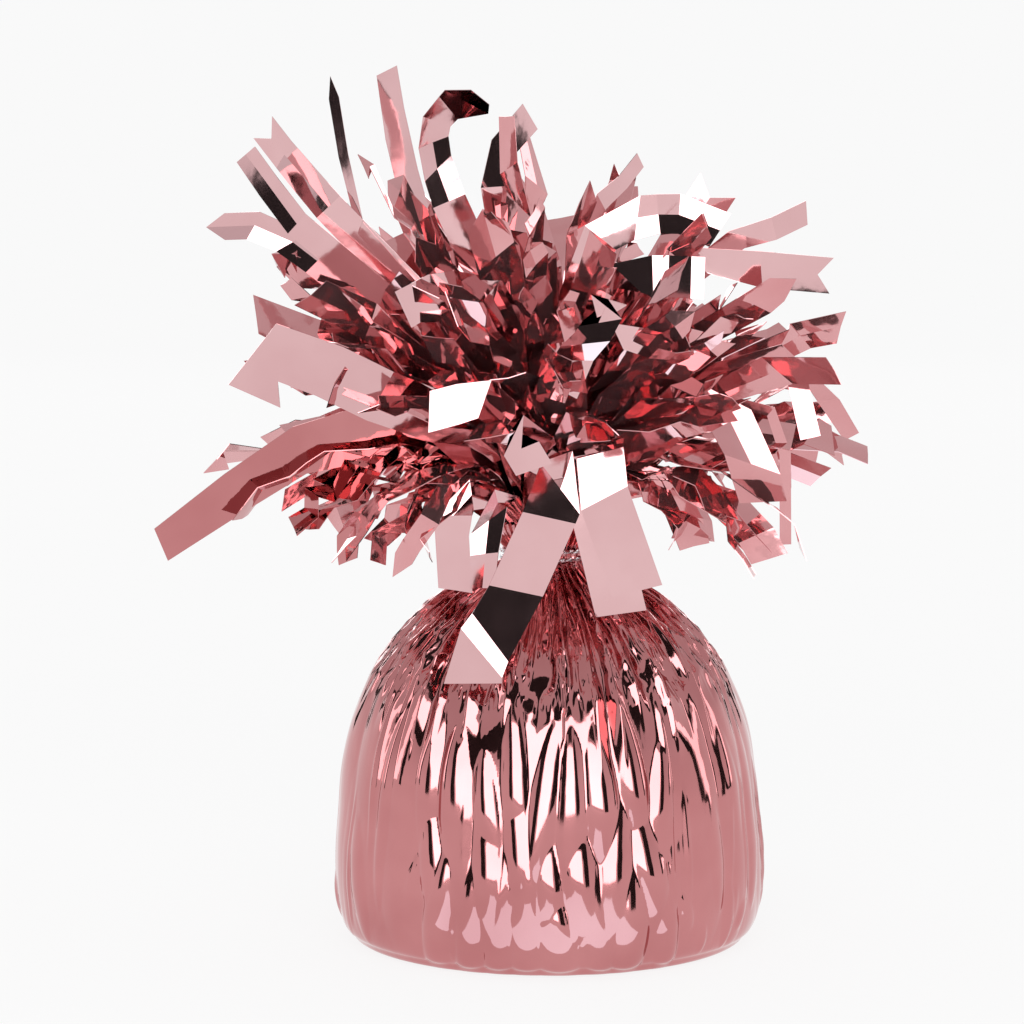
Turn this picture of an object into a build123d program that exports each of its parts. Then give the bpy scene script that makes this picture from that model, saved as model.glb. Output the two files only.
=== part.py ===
from build123d import *
import math
import os
from typing import NamedTuple

# Foil-wrapped balloon weight. A cast plug stands in a bag of metallised film. The film is gathered
# into a neck, tied with silver wire, and slit above the tie into strips that burst outward.
# Millimetres, +Z up. The origin is the middle of the flat base and the front faces -Y.

# Bag, from the base up: the radius of each level and its rise from the level below.
base_radius = 29.0
knee_radius = 32.0
belly_radius = 33.5
flank_radius = 32.4
chest_radius = 29.8
shoulder_radius = 24.0
collar_radius = 17.6
throat_radius = 10.5
knee_rise = 2.5
belly_rise = 6.5
flank_rise = 16.0
chest_rise = 12.5
shoulder_rise = 10.3
collar_rise = 5.5
throat_rise = 3.7

# Pleats run from the knee to the strips and deepen as the film is drawn in.
pleat_count = 40
belly_pleat = 0.5
chest_pleat = 0.9
shoulder_pleat = 1.4
neck_pleat = 0.9
film_wall = 0.6

# Cast plug inside the bag.
plug_clearance = 0.3
plug_rounding = 1.5

# Gathered neck with the wire round its waist.
gather_rise = 2.0
waist_radius = 6.6
flare_rise = 3.0
neck_top_radius = 9.4
wire_diameter = 0.7
wire_turns = 2
turn_gap = 0.5
wire_clearance = 0.02
wire_tail = 4.0
waist_margin = 0.5

# Slit film above the tie. Each strip rises from the flat top of the neck, leans out over the
# rise of its tier, bows over the rest of its length and twists towards its tip. A strip that
# flexes turns on a bead along its root.
strip_thickness = 0.4
strip_gap = 0.7
root_edge = 0.8
tier_pitch = 1.45
root_bead = 0.5
flex_clearance = 0.1
drape_gap = 1.6


class Strip(NamedTuple):
    azimuth: float
    lean: float
    bow: float
    length: float
    width: float
    twist: float


class Tier(NamedTuple):
    name: str
    rise: float
    flexes: bool
    strips: list


skirt = Tier("skirt", 14.0, True, [
    Strip(352, 72, 36, 48, 8.5, 35),
    Strip(18, 74, 40, 50, 8, -30),
    Strip(44, 74, 38, 48, 9, 25),
    Strip(70, 76, 45, 50, 8, -20),
    Strip(96, 74, 40, 48, 9, 20),
    Strip(122, 75, 42, 50, 8, -25),
    Strip(148, 74, 38, 52, 9, 30),
    Strip(172, 74, 44, 54, 8, 40),
    Strip(195, 75, 56, 62, 9, 55),
    Strip(219, 88, 62, 42, 8, 40),
    Strip(250, 150, 12, 43, 9, 10),
    Strip(297, 150, 15, 33, 9.7, -8),
    Strip(328, 80, 66, 47, 7, -40),
])
low = Tier("low", 16.0, False, [
    Strip(2, 50, 26, 52, 9, -50),
    Strip(30, 52, 28, 50, 8, 30),
    Strip(58, 54, 30, 50, 9, -20),
    Strip(86, 52, 28, 50, 8, 15),
    Strip(114, 54, 26, 50, 9, -20),
    Strip(142, 52, 30, 50, 8, 30),
    Strip(168, 50, 26, 54, 9, -35),
    Strip(200, 57, 30, 54, 10, 60),
    Strip(228, 58, 30, 44, 8.5, 30),
    Strip(254, 62, 30, 36, 9, 15),
    Strip(282, 60, 34, 38, 8.5, -20),
    Strip(308, 56, 38, 46, 8.5, -35),
    Strip(334, 54, 34, 52, 9, -55),
])
mid = Tier("mid", 18.0, False, [
    Strip(10, 38, 14, 60, 7, 60),
    Strip(42, 40, 16, 54, 9, -30),
    Strip(74, 40, 16, 54, 8, 20),
    Strip(106, 40, 16, 56, 9, -20),
    Strip(138, 40, 18, 58, 8, 40),
    Strip(176, 44, 22, 68, 8.5, -60),
    Strip(208, 44, 20, 54, 9, 50),
    Strip(240, 46, 22, 44, 8.5, 20),
    Strip(272, 46, 24, 42, 8, -20),
    Strip(304, 44, 24, 46, 9, -40),
    Strip(338, 42, 20, 54, 9, -60),
])
high = Tier("high", 20.0, False, [
    Strip(24, 27, 10, 58, 8.5, 50),
    Strip(62, 26, 10, 56, 8, -30),
    Strip(100, 26, 10, 60, 9, 20),
    Strip(138, 28, 10, 66, 8, 40),
    Strip(176, 32, 12, 74, 8, 70),
    Strip(212, 28, 10, 66, 8.5, -50),
    Strip(250, 28, 12, 56, 8, 20),
    Strip(288, 26, 14, 50, 8.5, -20),
    Strip(326, 28, 14, 54, 8, -50),
])
crown = Tier("crown", 22.0, False, [
    Strip(30, 12, 6, 56, 7, 50),
    Strip(95, 8, 4, 62, 8, 20),
    Strip(170, 16, 6, 74, 8, -60),
    Strip(238, 9, 5, 64, 7.5, -30),
    Strip(305, 8, 5, 54, 7.5, 30),
])
tiers = [skirt, low, mid, high, crown]

# Heights that follow from the rises above.
knee_height = knee_rise
belly_height = knee_height + belly_rise
flank_height = belly_height + flank_rise
chest_height = flank_height + chest_rise
shoulder_height = chest_height + shoulder_rise
collar_height = shoulder_height + collar_rise
throat_height = collar_height + throat_rise
turn_pitch = wire_diameter + turn_gap
tie_height = wire_turns * turn_pitch + wire_diameter
waist_bottom = throat_height + gather_rise
waist_top = waist_bottom + tie_height + 2 * waist_margin
neck_top = waist_top + flare_rise


class Level(NamedTuple):
    height: float
    radius: float
    pleat: float


bag_levels = [
    Level(0.0, base_radius, 0.0),
    Level(knee_height, knee_radius, 0.0),
    Level(belly_height, belly_radius, belly_pleat),
    Level(flank_height, flank_radius, belly_pleat),
    Level(chest_height, chest_radius, chest_pleat),
    Level(shoulder_height, shoulder_radius, shoulder_pleat),
    Level(collar_height, collar_radius, shoulder_pleat),
    Level(throat_height, throat_radius, neck_pleat),
]
neck_levels = [
    Level(throat_height, throat_radius, neck_pleat),
    Level(waist_bottom, waist_radius, neck_pleat),
    Level(waist_top, waist_radius, neck_pleat),
    Level(neck_top, neck_top_radius, neck_pleat),
]


def pleated_outline(level):
    """Ridges and valleys round one level; every third ridge stands lower than its neighbours."""
    points = []
    for index in range(2 * pleat_count):
        angle = math.pi * index / pleat_count
        ridge = 1.0 if (index // 2) % 3 else 0.5
        swing = ridge if index % 2 == 0 else -1.0
        radius = level.radius + swing * level.pleat / 2
        points.append((radius * math.cos(angle), radius * math.sin(angle)))
    return points


def inner_radius(level):
    """Radius of the round hollow inside the pleats of one level."""
    return level.radius - level.pleat / 2 - film_wall


def floor_radius():
    """Radius of the hollow's floor, inside both the base and the outline at the floor's height."""
    outline = base_radius + (knee_radius - base_radius) * film_wall / knee_rise
    return min(base_radius, outline) - film_wall


def bag_radius(height):
    """Greatest radius of the bag and neck at a height."""
    levels = bag_levels + neck_levels[1:]
    for below, above in zip(levels, levels[1:]):
        if below.height <= height <= above.height:
            share = (height - below.height) / (above.height - below.height)
            plain = below.radius + share * (above.radius - below.radius)
            return plain + max(below.pleat, above.pleat) / 2
    return 0.0


def arc_run(radius, height, angle, turn, length):
    """End of an arc in the radial plane; the angle is measured from straight up, outward."""
    if abs(turn) < 1e-9:
        return radius + length * math.sin(angle), height + length * math.cos(angle), angle
    bend = length / turn
    end = angle + turn
    out = radius + bend * (math.cos(angle) - math.cos(end))
    return out, height + bend * (math.sin(end) - math.sin(angle)), end


def strip_point(tier, strip, root_radius, root_height, run):
    """Radius, height, direction and twist of a strip at a distance from its root."""
    rise = tier.rise
    lean = math.radians(strip.lean)
    first = min(run, rise)
    radius, height, angle = arc_run(root_radius, root_height, 0.0, lean * first / rise, first)
    if run <= rise:
        return radius, height, angle, 0.0
    share = (run - rise) / (strip.length - rise)
    radius, height, angle = arc_run(radius, height, angle, math.radians(strip.bow) * share, run - rise)
    return radius, height, angle, math.radians(strip.twist) * share * share * (3 - 2 * share)


def strip_runs(tier, strip):
    """Distances from the root at which a strip is creased."""
    rising = [tier.rise * step / 5 for step in range(5)]
    reaching = [tier.rise + (strip.length - tier.rise) * step / 6 for step in range(7)]
    return rising + reaching


def half_width(strip, radius, half_share):
    """Half of a strip's width, kept inside its share of the circle."""
    room = radius * math.tan(half_share) - strip_gap / 2
    return max(strip_thickness, min(strip.width / 2, room))


def lean_clear_of_bag(tier, strip, root_radius, root_height):
    """The strip with its lean eased until it clears the shoulder of the bag."""
    while strip.lean > 10:
        clear = True
        for run in strip_runs(tier, strip)[3:]:
            radius, height, angle, twist = strip_point(tier, strip, root_radius, root_height, run)
            reach = strip.width / 2 * abs(math.sin(twist))
            if height < root_height and radius - reach < bag_radius(height) + drape_gap:
                clear = False
        if clear:
            break
        strip = strip._replace(lean=strip.lean - 1)
    return strip


def biarc_joint(start, start_tangent, end, end_tangent):
    """Point where two equal-handle tangent arcs between two points meet."""
    chord = end - start
    both = start_tangent + end_tangent
    a = 2 * (1 - start_tangent.dot(end_tangent))
    b = 2 * chord.dot(both)
    c = -chord.dot(chord)
    handle = (-b + math.sqrt(b * b - 4 * a * c)) / (2 * a)
    return (start + start_tangent * handle + end - end_tangent * handle) / 2


os.makedirs("parts", exist_ok=True)

with BuildPart() as foil_wrap:
    for level in bag_levels:
        with BuildSketch(Plane.XY.offset(level.height)):
            with BuildLine():
                Polyline(*pleated_outline(level), close=True)
            make_face()
    loft(ruled=True)
    with BuildSketch(Plane.XZ):
        with BuildLine():
            hollow = [(0, film_wall), (floor_radius(), film_wall)]
            hollow += [(inner_radius(level), level.height) for level in bag_levels[1:]]
            Polyline(*hollow, (0, throat_height), close=True)
        make_face()
    revolve(axis=Axis.Z, mode=Mode.SUBTRACT)
foil_wrap.part.label = "foil_wrap"
export_step(foil_wrap.part, "parts/foil_wrap.step")

with BuildPart() as ballast_core:
    with BuildSketch(Plane.XZ) as plug_profile:
        with BuildLine():
            plug = [(0, film_wall), (floor_radius() - plug_clearance, film_wall)]
            plug += [(inner_radius(level) - plug_clearance, level.height) for level in bag_levels[1:-1]]
            Polyline(*plug, (0, collar_height), close=True)
        make_face()
        top_rim = plug_profile.vertices().group_by(Axis.Y)[-1].sort_by(Axis.X)[-1]
        fillet(top_rim, min(plug_rounding, collar_rise / 4))
    revolve(axis=Axis.Z)
ballast_core.part.label = "ballast_core"
export_step(ballast_core.part, "parts/ballast_core.step")

with BuildPart() as neck_gather:
    for level in neck_levels:
        with BuildSketch(Plane.XY.offset(level.height)):
            with BuildLine():
                Polyline(*pleated_outline(level), close=True)
            make_face()
    loft(ruled=True)
neck_gather.part.label = "neck_gather"
export_step(neck_gather.part, "parts/neck_gather.step")

wire_path_radius = waist_radius + neck_pleat / 2 + wire_clearance + wire_diameter / 2
tie_start = waist_bottom + waist_margin + wire_diameter / 2
quarter_climb = turn_pitch / 4


def tie_point(quarter):
    """Point on the winding, counted in quarter turns from the back."""
    angle = math.pi / 2 * (quarter + 1)
    height = tie_start + quarter_climb * quarter
    return Vector(wire_path_radius * math.cos(angle), wire_path_radius * math.sin(angle), height)


def tie_tangent(quarter):
    """Direction of the winding at a quarter turn."""
    angle = math.pi / 2 * (quarter + 1)
    arc = math.pi / 2 * wire_path_radius
    return Vector(-math.sin(angle) * arc, math.cos(angle) * arc, quarter_climb).normalized()


quarters = 4 * wire_turns
with BuildPart() as neck_tie:
    with BuildLine() as winding:
        Line(tie_point(0) - tie_tangent(0) * wire_tail, tie_point(0))
        for quarter in range(quarters):
            start = tie_point(quarter)
            end = tie_point(quarter + 1)
            joint = biarc_joint(start, tie_tangent(quarter), end, tie_tangent(quarter + 1))
            TangentArc(start, joint, tangent=tie_tangent(quarter))
            TangentArc(end, joint, tangent=-tie_tangent(quarter + 1))
        Line(tie_point(quarters), tie_point(quarters) + tie_tangent(quarters) * wire_tail)
    with BuildSketch(Plane(origin=winding.line @ 0, z_dir=winding.line % 0)):
        Circle(wire_diameter / 2)
    sweep()
neck_tie.part.label = "neck_tie"
export_step(neck_tie.part, "parts/neck_tie.step")

# The least distance between turns is measured on points more than half a turn apart.
tie_wire = winding.wire()
wire_length = tie_wire.length
samples = [tie_wire @ (step / 400) for step in range(401)]
apart = math.pi * wire_path_radius
least = min(
    (one - two).length
    for place, one in enumerate(samples)
    for other, two in enumerate(samples)
    if (other - place) * wire_length / 400 > apart
)
print(f"tie: wire {wire_length:.1f} mm long, least gap to itself {least - wire_diameter:.2f} mm")
print(f"tie: volume {neck_tie.part.volume:.2f}, section x length",
      f"{math.pi * wire_diameter ** 2 / 4 * wire_length:.2f} mm3")

for order, tier in enumerate(tiers):
    root_radius = neck_top_radius - root_edge - order * tier_pitch
    root_height = neck_top + (root_bead / 2 + flex_clearance if tier.flexes else 0.0)
    turns = sorted(strip.azimuth % 360 for strip in tier.strips)
    spans = [(after - before) % 360 for before, after in zip(turns, turns[1:] + turns[:1])]
    half_share = math.radians(min(spans) / 2)
    for number, planned in enumerate(tier.strips, 1):
        strip = lean_clear_of_bag(tier, planned, root_radius, root_height)
        turn = math.radians(strip.azimuth)
        outward = Vector(math.cos(turn), math.sin(turn), 0)
        sideways = Vector(-math.sin(turn), math.cos(turn), 0)
        with BuildPart() as blade:
            for run in strip_runs(tier, strip):
                radius, height, angle, twist = strip_point(tier, strip, root_radius, root_height, run)
                ahead = outward * math.sin(angle) + Vector(0, 0, math.cos(angle))
                across = sideways * math.cos(twist) + ahead.cross(sideways) * math.sin(twist)
                centre = outward * radius + Vector(0, 0, height)
                with BuildSketch(Plane(origin=centre, x_dir=across, z_dir=ahead)):
                    Rectangle(2 * half_width(strip, radius, half_share), strip_thickness)
            loft(ruled=True)
            if tier.flexes:
                root = outward * root_radius + Vector(0, 0, root_height)
                with Locations(Plane(origin=root, x_dir=outward, z_dir=sideways)):
                    Cylinder(root_bead / 2, 2 * half_width(strip, root_radius, half_share))
        name = f"{tier.name}_strip_{number:02d}"
        blade.part.label = name
        export_step(blade.part, f"parts/{name}.step")
        if strip.lean != planned.lean:
            print(f"{name}: lean eased from {planned.lean} to {strip.lean} degrees")
print(f"neck top {neck_top:.2f} mm, strips {sum(len(tier.strips) for tier in tiers)}")
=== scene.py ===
import math
import random

import bpy
import numpy as np
from mathutils import Matrix, Vector, kdtree, noise


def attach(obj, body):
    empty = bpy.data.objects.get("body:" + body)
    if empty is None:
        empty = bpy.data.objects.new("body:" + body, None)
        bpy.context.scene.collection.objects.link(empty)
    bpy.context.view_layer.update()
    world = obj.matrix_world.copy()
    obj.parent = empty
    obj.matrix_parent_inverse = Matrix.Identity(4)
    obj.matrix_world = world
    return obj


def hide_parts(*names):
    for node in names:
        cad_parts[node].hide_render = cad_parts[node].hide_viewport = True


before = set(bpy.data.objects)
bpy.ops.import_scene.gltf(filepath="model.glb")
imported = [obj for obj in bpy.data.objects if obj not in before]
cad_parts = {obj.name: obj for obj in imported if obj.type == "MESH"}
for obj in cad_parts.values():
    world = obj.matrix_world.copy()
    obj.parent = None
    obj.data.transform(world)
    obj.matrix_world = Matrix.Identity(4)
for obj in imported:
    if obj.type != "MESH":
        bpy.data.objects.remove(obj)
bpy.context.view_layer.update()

MM = 0.001
# In millimetres: heights of the strips' roots, as in the solids, and the film's thickness.
NECK_TOP = 66.1
SKIRT_FOOT = 66.45
FILM = 0.12

# Tiers of strips, as in the solids: root radius, root height and the run in which a strip leans out,
# then each strip's azimuth, lean, bow, length, width and twist.
TIERS = {
    "skirt": (8.6, SKIRT_FOOT, 14.0, [
        (352, 72, 36, 48, 8.5, 35), (18, 74, 40, 50, 8, -30), (44, 74, 38, 48, 9, 25),
        (70, 76, 45, 50, 8, -20), (96, 74, 40, 48, 9, 20), (122, 75, 42, 50, 8, -25),
        (148, 74, 38, 52, 9, 30), (172, 74, 44, 54, 8, 40), (195, 75, 56, 62, 9, 55),
        (219, 88, 62, 42, 8, 40), (250, 150, 12, 43, 9, 10), (297, 150, 15, 33, 9.7, -8),
        (328, 80, 66, 47, 7, -40)]),
    "low": (7.15, NECK_TOP, 16.0, [
        (2, 50, 26, 52, 9, -50), (30, 52, 28, 50, 8, 30), (58, 54, 30, 50, 9, -20),
        (86, 52, 28, 50, 8, 15), (114, 54, 26, 50, 9, -20), (142, 52, 30, 50, 8, 30),
        (168, 50, 26, 54, 9, -35), (200, 57, 30, 54, 10, 60), (228, 58, 30, 44, 8.5, 30),
        (254, 62, 30, 36, 9, 15), (282, 60, 34, 38, 8.5, -20), (308, 56, 38, 46, 8.5, -35),
        (334, 54, 34, 52, 9, -55)]),
    "mid": (5.7, NECK_TOP, 18.0, [
        (10, 38, 14, 60, 7, 60), (42, 40, 16, 54, 9, -30), (74, 40, 16, 54, 8, 20),
        (106, 40, 16, 56, 9, -20), (138, 40, 18, 58, 8, 40), (176, 44, 22, 68, 8.5, -60),
        (208, 44, 20, 54, 9, 50), (240, 46, 22, 44, 8.5, 20), (272, 46, 24, 42, 8, -20),
        (304, 44, 24, 46, 9, -40), (338, 42, 20, 54, 9, -60)]),
    "high": (4.25, NECK_TOP, 20.0, [
        (24, 27, 10, 58, 8.5, 50), (62, 26, 10, 56, 8, -30), (100, 26, 10, 60, 9, 20),
        (138, 28, 10, 66, 8, 40), (176, 32, 12, 74, 8, 70), (212, 28, 10, 66, 8.5, -50),
        (250, 28, 12, 56, 8, 20), (288, 26, 14, 50, 8.5, -20), (326, 28, 14, 54, 8, -50)]),
    "crown": (2.8, NECK_TOP, 22.0, [
        (30, 12, 6, 56, 7, 50), (95, 8, 4, 62, 8, 20), (170, 16, 6, 74, 8, -60),
        (238, 9, 5, 64, 7.5, -30), (305, 8, 5, 54, 7.5, 30)]),
}


def link(tree, source, output, target, entry):
    tree.links.new(source.outputs[output], target.inputs[entry])


def node(tree, kind, **values):
    """A shader node with its properties and input values set."""
    made = tree.nodes.new(kind)
    for name, value in values.items():
        if hasattr(made, name):
            setattr(made, name, value)
        else:
            made.inputs[name.replace("_", " ")].default_value = value
    return made


def new_material(name):
    material = bpy.data.materials.new(name)
    material.use_nodes = True
    tree = material.node_tree
    tree.nodes.clear()
    output = node(tree, "ShaderNodeOutputMaterial")
    shader = node(tree, "ShaderNodeBsdfPrincipled")
    link(tree, shader, "BSDF", output, "Surface")
    return material, tree, shader


def speckle(tree, shader, low, high, ends=(0.0, 1.0), **values):
    """Mix a shader's base colour from two tones by noise."""
    place = node(tree, "ShaderNodeTexCoord")
    speck = node(tree, "ShaderNodeTexNoise", **values)
    link(tree, place, "Object", speck, "Vector")
    tone = node(tree, "ShaderNodeValToRGB")
    for element, colour, end in zip(tone.color_ramp.elements, (low, high), ends):
        element.position = end
        element.color = (*colour, 1)
    link(tree, speck, "Fac", tone, "Fac")
    link(tree, tone, "Color", shader, "Base Color")
    return place, speck


def roughen(tree, shader, source, strength, distance):
    """Bump a shader's surface by the noise of a node."""
    bump = node(tree, "ShaderNodeBump", Strength=strength, Distance=distance)
    link(tree, source, "Fac", bump, "Height")
    link(tree, bump, "Normal", shader, "Normal")


def foil_material(name, pale, deep, stretch, crinkle, rough, metal=1.0):
    """Metallised film: tinted mirror with soft tone drift, fine crinkles and uneven gloss."""
    material, tree, shader = new_material(name)
    shader.inputs["Metallic"].default_value = metal
    place, _ = speckle(tree, shader, deep, pale, (0.34, 0.66), Scale=55.0, Detail=3.0, Roughness=0.55)
    smears = node(tree, "ShaderNodeTexNoise", Scale=160.0, Detail=2.0)
    link(tree, place, "Object", smears, "Vector")
    gloss = node(tree, "ShaderNodeMapRange", From_Min=0.3, From_Max=0.7, To_Min=rough[0], To_Max=rough[1])
    link(tree, smears, "Fac", gloss, "Value")
    link(tree, gloss, "Result", shader, "Roughness")
    scale = node(tree, "ShaderNodeMapping", Scale=stretch)
    link(tree, place, "Object", scale, "Vector")
    wave = node(tree, "ShaderNodeTexNoise", Scale=1.0, Detail=2.5, Roughness=0.5)
    link(tree, scale, "Vector", wave, "Vector")
    roughen(tree, shader, wave, crinkle, 0.0006)
    return material


def plaster_material():
    material, tree, shader = new_material("plaster")
    _, grain = speckle(tree, shader, (0.66, 0.64, 0.6), (0.8, 0.79, 0.76), Scale=400.0, Detail=6.0)
    shader.inputs["Roughness"].default_value = 0.9
    roughen(tree, shader, grain, 0.4, 0.0004)
    return material


# The bag's film: the rose foil colour, made deeper than on the strips as painted shade.
foil_with_painted_shade = foil_material("foil_with_painted_shade", (0.59, 0.24, 0.245), (0.52, 0.195, 0.2), (380, 380, 90),
                          0.1, (0.03, 0.09))
strip_foil = foil_material("strip_foil", (0.74, 0.38, 0.39), (0.66, 0.30, 0.31), (220, 220, 220),
                           0.1, (0.03, 0.09), 0.93)
# The placed strips' film: the same rose foil made paler as painted light.
foil_with_painted_light = foil_material("foil_with_painted_light", (0.76, 0.48, 0.49), (0.70, 0.42, 0.43), (220, 220, 220),
                          0.06, (0.04, 0.1))
silver_wire = foil_material("silver_wire", (0.86, 0.86, 0.88), (0.7, 0.7, 0.73), (900, 900, 900),
                            0.5, (0.12, 0.28))


def mesh_piece(name, points, faces, material, sharp):
    """A mesh object from points in millimetres; edges sharper than an angle, if given, stay sharp."""
    mesh = bpy.data.meshes.new(name)
    mesh.from_pydata((np.asarray(points) * MM).tolist(), [], faces)
    mesh.materials.append(material)
    mesh.shade_smooth()
    if sharp:
        mesh.set_sharp_from_angle(angle=math.radians(sharp))
    mesh.update()
    piece = bpy.data.objects.new(name, mesh)
    bpy.context.scene.collection.objects.link(piece)
    return piece


def unit(vectors):
    return vectors / np.maximum(np.linalg.norm(vectors, axis=-1, keepdims=True), 1e-9)


def run_lengths(points):
    """Distance of each point from the first, along the points."""
    return np.concatenate([[0], np.cumsum(np.linalg.norm(np.diff(points, axis=0), axis=1))])


# Strip centrelines: distance, centre, direction along and direction across, as arrays.

UP = np.array([0, 0, 1.0])
PATH_STEPS = 81
# How the stem of a placed strip faces.
STEM_FACE = (0, -1, -0.2)
# A crease follows the line in which two facets meet if the sine of their angle is over the first value
# and that line runs across the strip by more than the second.
CLEAR_BEND = 0.1
CLEAR_SPAN = 0.6


def strip_path(root, foot, rise, strip, roll=0.0, sway=0.0):
    """The centreline of one strip, with extra roll and sideways sway towards its tip."""
    azimuth, lean, bow, length, _, twist = strip
    runs = np.linspace(0, length, PATH_STEPS)
    share = np.clip((runs - rise) / (length - rise), 0, 1)
    tilt = np.radians(lean) * np.minimum(runs, rise) / rise + np.radians(bow) * share
    turn = np.radians(azimuth + sway * share)
    outward = np.stack([np.cos(turn), np.sin(turn), np.zeros(PATH_STEPS)], axis=1)
    sideways = np.stack([-np.sin(turn), np.cos(turn), np.zeros(PATH_STEPS)], axis=1)
    aheads = outward * np.sin(tilt)[:, None] + UP * np.cos(tilt)[:, None]
    middles = (aheads[1:] + aheads[:-1]) / 2 * (length / (PATH_STEPS - 1))
    start = outward[0] * root + UP * foot
    centres = np.vstack([start, start + np.cumsum(middles, axis=0)])
    spin = np.radians(twist + roll) * share * share * (3 - 2 * share)
    acrosses = sideways * np.cos(spin)[:, None] + np.cross(aheads, sideways) * np.sin(spin)[:, None]
    return runs, centres, aheads, acrosses


def blade_path(stem, blade):
    """The centreline of a placed strip: the points of its stem, then flat facets.

    Each facet ends at an x and a z and faces the front, turned up and to the right by two angles.
    The path ends with the way in which each facet faces."""
    places = [np.array(place, float) for place in stem]
    faces = [np.array(STEM_FACE)] * len(stem)
    for x, z, tilt, turn, _, _ in blade:
        tilt, turn = math.radians(tilt), math.radians(turn)
        face = np.array((math.sin(turn) * math.cos(tilt), -math.cos(turn) * math.cos(tilt), math.sin(tilt)))
        near = places[-1]
        y = near[1] - (face[0] * (x - near[0]) + face[2] * (z - near[2])) / face[1]
        places.append(np.array((x, y, z)))
        faces.append(face)
    points = np.array(places)
    faces = np.array(faces)
    aheads = unit(np.gradient(points, axis=0))
    meets = faces.copy()
    meets[:-1] += faces[1:]
    return run_lengths(points), points, aheads, unit(np.cross(meets, aheads)), faces


def crease_edges(path, slants):
    """Directions along the creases of a placed strip, each one unit across the strip."""
    _, _, aheads, acrosses, faces = path
    edges = acrosses + aheads * np.array(slants)[:, None]
    for j in range(len(edges) - 1):
        meet = np.cross(faces[j], faces[j + 1])
        span = np.dot(meet, acrosses[j])
        if abs(span) > CLEAR_SPAN * np.linalg.norm(meet) and np.linalg.norm(meet) > CLEAR_BEND:
            edges[j] = meet / span
    return edges


def at_run(path, run):
    """Centre, direction along and direction across at one distance."""
    runs = path[0]
    return [np.array([np.interp(run, runs, values[:, k]) for k in range(3)]) for values in path[1:4]]


# Ribbons of film along the centrelines.

# Runs over which a ribbon's root stays straight, and its slants, lifts and width come in.
STRAIGHT_RUN = 4.0
SLANT_RUN = 10.0
LIFT_RUN = 12.0
WIDEN_RUN = 14.0
# Depths of cut tips.
NOTCH_DEPTH = 2.4
POINT_DEPTH = 3.5
# Height of the fold along the middle, as a share of the half width.
FOLD = 0.12
# The bend, in degrees, that one row takes up, and the samples that measure it.
ROW_BEND = 14.0
BEND_SAMPLES = 9
# Edges sharper than this angle, in degrees, are creases.
CREASE_ANGLE = 9.0


def crease_stations(path, spacing, crease, chance):
    """Rows across a ribbon: distance, slant and lift. Creases alternate; tight bends get more rows."""
    runs, _, aheads, _ = path
    length = runs[-1]
    creases = [(0.0, 0.0, 0.0), (STRAIGHT_RUN, 0.0, 0.0)]
    spot = STRAIGHT_RUN + chance.uniform(0.6, 1.1) * spacing
    side = chance.choice((-1, 1))
    while spot < length - 0.4 * spacing:
        creases.append((spot, chance.uniform(-0.7, 0.7), side * crease * chance.uniform(0.4, 1.3)))
        side = -side
        spot += spacing * chance.uniform(0.55, 1.5)
    creases.append((length, chance.uniform(-0.5, 0.5), side * crease * chance.uniform(0.2, 0.9)))
    rows = []
    for one, two in zip(creases, creases[1:]):
        spots = np.linspace(one[0], two[0], BEND_SAMPLES)
        ways = unit(np.stack([np.interp(spots, runs, aheads[:, k]) for k in range(3)], axis=1))
        bend = np.degrees(np.arccos(np.clip(np.sum(ways[1:] * ways[:-1], axis=1), -1, 1))).sum()
        count = max(1, math.ceil(bend / ROW_BEND))
        for step in range(count):
            rows.append(tuple(a + (b - a) * step / count for a, b in zip(one, two)))
    return rows + [creases[-1]]


def closed_sheet(grid):
    """Points and faces of a closed sheet of the film's thickness round a grid of points."""
    normals = unit(np.cross(np.gradient(grid, axis=1), np.gradient(grid, axis=0)))
    n, m = grid.shape[:2]
    skins = [grid + normals * FILM / 2, grid - normals * FILM / 2]
    points = np.concatenate([skin.reshape(-1, 3) for skin in skins])
    faces = []
    back = n * m
    for j in range(n - 1):
        for i in range(m - 1):
            a, b, c, d = j * m + i, j * m + i + 1, (j + 1) * m + i + 1, (j + 1) * m + i
            faces.append((a, b, c, d))
            faces.append((back + d, back + c, back + b, back + a))
    rim = list(range(m)) + [j * m + m - 1 for j in range(1, n)]
    rim += [(n - 1) * m + i for i in range(m - 2, -1, -1)] + [j * m for j in range(n - 2, 0, -1)]
    for a, b in zip(rim, rim[1:] + rim[:1]):
        faces.append((b, a, back + a, back + b))
    return points, faces


def ribbon(path, width, root_width, rows, tip, taper, edges=None):
    """Points and faces of one creased film ribbon along a centreline.

    Each row across it has its distance, slant, lift and the height of the fold along its middle.
    Edges, if given, are the directions of the rows in place of their slants."""
    length = path[0][-1]
    half = width / 2
    root_half = root_width / 2
    across = (-1.0, 0.0, 1.0)
    grid = np.zeros((len(rows), len(across), 3))
    for j, (run, slant, lift, keel) in enumerate(rows):
        widen = min(1.0, run / WIDEN_RUN)
        reach = root_half + (half - root_half) * widen * widen * (3 - 2 * widen)
        reach *= 1 - taper * (run / length) ** 2
        last = j == len(rows) - 1
        for i, v in enumerate(across):
            shear = slant * v * half * min(1.0, run / SLANT_RUN)
            along = run + shear
            if last and tip == "notch":
                along = run - NOTCH_DEPTH * (1 - abs(v))
            if last and tip == "point":
                along = run - POINT_DEPTH * abs(v)
            if edges is not None:
                along -= shear
            centre, ahead, sideways = at_run(path, min(max(along, 0.0), length))
            normal = np.cross(sideways, ahead)
            height = lift * min(1.0, run / LIFT_RUN) + keel * (1 - abs(v))
            edge = sideways if edges is None else edges[j]
            grid[j, i] = centre + ahead * max(0.0, along - length) + edge * v * reach + normal * height
    return closed_sheet(grid)


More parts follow.
